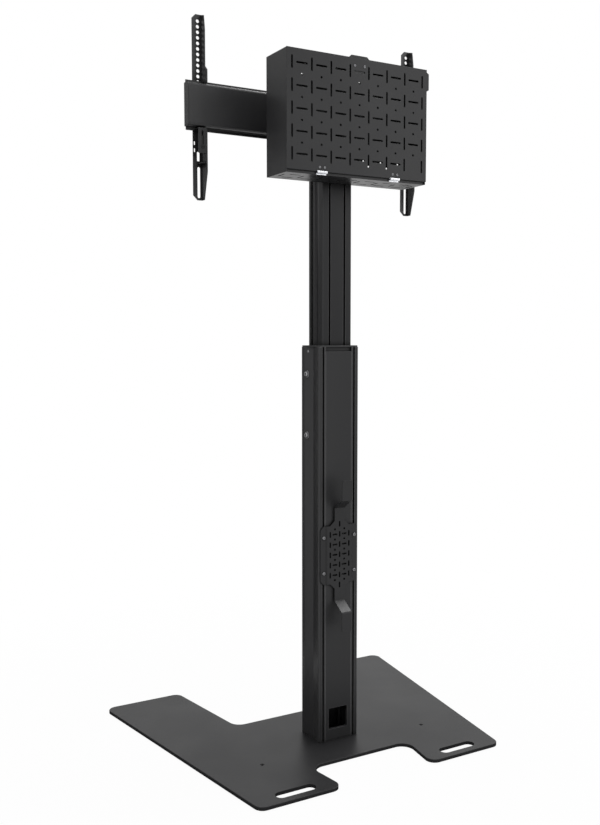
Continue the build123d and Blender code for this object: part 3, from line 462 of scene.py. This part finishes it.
def screwRings(screw, length):
    # from the tip: chamfered shank, the head's under side, a crown that is a quarter ellipse
    # between the rim and the key's mouth, then the hexagon key with a coned floor
    shank, head, height, key, under = (
        screw[size] for size in ("shank", "head", "height", "key", "under"))
    mouth = key * screwForm["mouth"]
    edge = min(screwForm["rim"] * height, screwForm["rimMost"])
    rings = [(-length, 0, 0), (-length, screwForm["tip"] * shank, 0)]
    rings += [(screwForm["chamfer"] * shank - length, shank, 0), (-under, shank, 0)]
    rings += [(0, head - screwForm["rimIn"] * edge, 0)]
    for rise in np.linspace(0, np.pi / 2, screwForm["crownSteps"]):
        crown = edge + (height - edge) * math.sin(rise)
        rings += [(crown, mouth + (head - mouth) * math.cos(rise), 0)]
    rings += [(height - screwForm[step] * key, key, 1) for step in ("keyTop", "keyFloor")]
    return rings + [(height - screwForm["keyPoint"] * key, 0, 0)]


for screwName, screw in screws.items():
    seats, length = solidSeats(screw)
    screwGrid = turnedGrid(screwRings(screw, length), seats, screw["outward"], screwForm["sides"])
    closedSurface(screwName, screwGrid, screw)
print("screws turned:", sum(screw["count"] for screw in screws.values()))

washer = {
    "node": "clamp_washers", "body": "base", "count": 2, "outward": (1, 0, 0),
    "finish": "boltSteel", "slot": "zinc_steel", "outer": 8.6, "inner": 4.1, "height": 1.5,
    "edge": 0.35, "dish": 0.12, "frontSteps": 6, "sides": 64,
}


def washerRings():
    # section of the washer, walked round once: flat back, broken outer edge, a front that
    # dishes in slightly to the hole
    outer, inner, thick, edge, dish = (
        washer[size] for size in ("outer", "inner", "height", "edge", "dish"))
    front = np.linspace(outer - edge, inner + edge, washer["frontSteps"])
    sag = dish * ((outer - front) / (outer - inner)) ** 2
    rings = [(0, inner, 0), (0, outer - edge, 0), (edge, outer, 0), (thick - edge, outer, 0)]
    rings += [(thick - drop, radius, 0) for drop, radius in zip(sag, front)]
    return rings + [(thick - edge - dish, inner, 0)]


washerGrid = turnedGrid(washerRings(), solidSeats(washer)[0], washer["outward"], washer["sides"])
closedSurface("clampWashers", washerGrid, washer, ringed=True)

pad = {
    "node": "foot_pads", "body": "base", "count": 4, "outward": (0, 0, 1),
    "finish": "rubber", "slot": "rubber", "radius": 18.0, "height": 2.0, "rib": 3.2,
    "groove": 0.55, "edge": 0.45, "soleSteps": 56, "edgeSteps": 5, "sides": 72,
}


def padRings():
    # ribbed sole: the sole's height is the groove's depth times half of one minus the cosine of
    # the distance out over the rib pitch, then a rounded wall and a flat top under the plate
    edge = pad["edge"]
    wall = pad["radius"] - edge
    reach = np.linspace(0, wall, pad["soleSteps"])
    sole = pad["groove"] * (0.5 - 0.5 * np.cos(2 * np.pi * reach / pad["rib"]))
    rings = [(height, radius, 0) for height, radius in zip(sole, reach)]
    for turn in np.linspace(0, np.pi / 2, pad["edgeSteps"]):
        rings += [(edge * (1 - math.cos(turn)), wall + edge * math.sin(turn), 0)]
    return rings + [(pad["height"], pad["radius"], 0), (pad["height"], 0, 0)]


padGrid = turnedGrid(padRings(), solidSeats(pad)[0], pad["outward"], pad["sides"])
closedSurface("footPads", padGrid, pad)
print("washers and foot pads made")

# the room: a pale floor, a white surround and soft lamps, the largest behind the stand's right
# shoulder; lengths are in metres and powers in watts
room = {
    "floorSize": 40.0,
    "floorColour": (0.86, 0.86, 0.86, 1),
    "floorRoughness": 0.9,
    "floorGloss": 0.1,
    "whiteNear": 0.96,
    "whiteFrom": 0.5,
    "whiteTo": 1.5,
    "surround": (1.0, 1.0, 1.0, 1),
    "fill": (0.50, 0.50, 0.51, 1),
    "cardColour": (0.02, 0.02, 0.02, 1),
}
lamps = {
    "keyLamp": {"place": (-2.8, 3.2, 2.6), "aim": (0, 0, 0.9), "size": 2.4, "power": 27},
    "topLamp": {"place": (-2.0, -0.3, 3.9), "aim": (0, 0, 0.4), "size": 1.8, "power": 80},
}
# corners of dark cards which only reflections see: painted shade in what the left faces reflect,
# and just round the plate a painted shadow of the floor, for the plate's rim to reflect
cards = {
    "cardStanding": [(0.33, -3, 0), (2.3, -3, 0), (2.3, -3, 1.6), (0.33, -3, 1.6)],
    "cardRaised": [(0.33, -3, 1.92), (2.3, -3, 1.92), (2.3, -3, 2.5), (0.33, -3, 2.5)],
    "cardLying": [(0.1, -3, 0.02), (2.3, -3, 0.02), (0.62, -0.5, 0.02), (0.1, -0.5, 0.02)],
    "cardUnder": [
        (-0.47, -0.46, 0.001), (0.47, -0.46, 0.001), (0.47, 0.29, 0.001), (-0.47, 0.29, 0.001)],
}


def flatSheet(name, corners, finish):
    mesh = bpy.data.meshes.new(name)
    mesh.from_pydata(corners, [], [(0, 1, 2, 3)])
    mesh.materials.append(finish.material)
    return placed(name, mesh)


def buildFloor():
    # flat sheet, white to the eye further out, with the stand's own soft shadow close in
    finish = Finish("floorPale")
    finish.set(
        Base_Color=room["floorColour"],
        Roughness=room["floorRoughness"],
        Specular_IOR_Level=room["floorGloss"],
    )
    away = finish.add("ShaderNodeVectorMath", {"operation": "LENGTH"}, {0: finish.place()}, "Value")
    whiter = finish.band(away, (room["whiteNear"], 1.0), (room["whiteFrom"], room["whiteTo"]))
    white = finish.add("ShaderNodeEmission", {}, {"Color": (1, 1, 1, 1), "Strength": 1.0})
    shade = Wire(finish, finish.shader.outputs["BSDF"])
    ends = {0: finish.seenDirectly() * whiter, 1: shade, 2: white}
    mixed = finish.add("ShaderNodeMixShader", {}, ends)
    finish.link(mixed, finish.tree.nodes["Material Output"].inputs["Surface"])
    half = room["floorSize"] / 2
    corners = [(-half, -half, 0), (half, -half, 0), (half, half, 0), (-half, half, 0)]
    floor = flatSheet("floor", corners, finish)


def buildSurround():
    # white where it is seen, and a softer grey as the light that fills the shadows
    world = bpy.data.worlds.new("surround")
    world.use_nodes = True
    shading = Shading(world.node_tree)
    fill = shading.add("ShaderNodeBackground", {}, {"Color": room["fill"]})
    bright = shading.add("ShaderNodeBackground", {}, {"Color": room["surround"]})
    ends = {0: shading.seenDirectly(), 1: fill, 2: bright}
    mixed = shading.add("ShaderNodeMixShader", {}, ends)
    shading.link(mixed, shading.tree.nodes["World Output"].inputs["Surface"])
    bpy.context.scene.world = world


def buildCards():
    # dark sheets that only reflections see: painted shade, and a painted floor shadow round the
    # plate
    finish = Finish("cardDark")
    finish.set(Base_Color=room["cardColour"], Roughness=1.0, Specular_IOR_Level=0.0)
    for name, corners in cards.items():
        sheet = flatSheet(name, corners, finish)
        sheet.visible_camera = False
        sheet.visible_diffuse = False
        sheet.visible_shadow = False


def buildLamps():
    for name, lamp in lamps.items():
        light = bpy.data.lights.new(name, "AREA")
        light.energy = lamp["power"]
        light.size = lamp["size"]
        holder = placed(name, light)
        holder.location = lamp["place"]
        aim = Vector(lamp["aim"]) - Vector(lamp["place"])
        holder.rotation_euler = aim.to_track_quat("-Z", "Y").to_euler()


buildFloor()
buildSurround()
buildCards()
buildLamps()
print("room built with", len(lamps), "lamps and", len(cards), "cards")

# the camera stands behind the stand and to its left, a little over waist height
lens = {
    "place": (1.2197, 1.9808, 1.0049),
    "yaw": 150.171,
    "pitch": -4.567,
    "roll": -0.064,
    "focal": 41.51,
    "sensor": 36.0,
}


def buildCamera():
    yaw, pitch, roll = (math.radians(lens[key]) for key in ("yaw", "pitch", "roll"))
    level = math.cos(pitch)
    ahead = Vector((-math.sin(yaw) * level, math.cos(yaw) * level, math.sin(pitch)))
    right = ahead.cross(Vector((0, 0, 1))).normalized()
    up = right.cross(ahead)
    rightRolled = right * math.cos(roll) + up * math.sin(roll)
    upRolled = up * math.cos(roll) - right * math.sin(roll)
    turn = Matrix((rightRolled, upRolled, -ahead)).transposed()
    data = bpy.data.cameras.new("camera")
    data.sensor_fit = "VERTICAL"
    data.sensor_height = lens["sensor"]
    data.lens = lens["focal"]
    camera = placed("camera", data)
    camera.matrix_world = Matrix.Translation(lens["place"]) @ turn.to_4x4()
    bpy.context.scene.camera = camera
    print("camera placed")


buildCamera()
bpy.context.scene.view_settings.view_transform = "Standard"
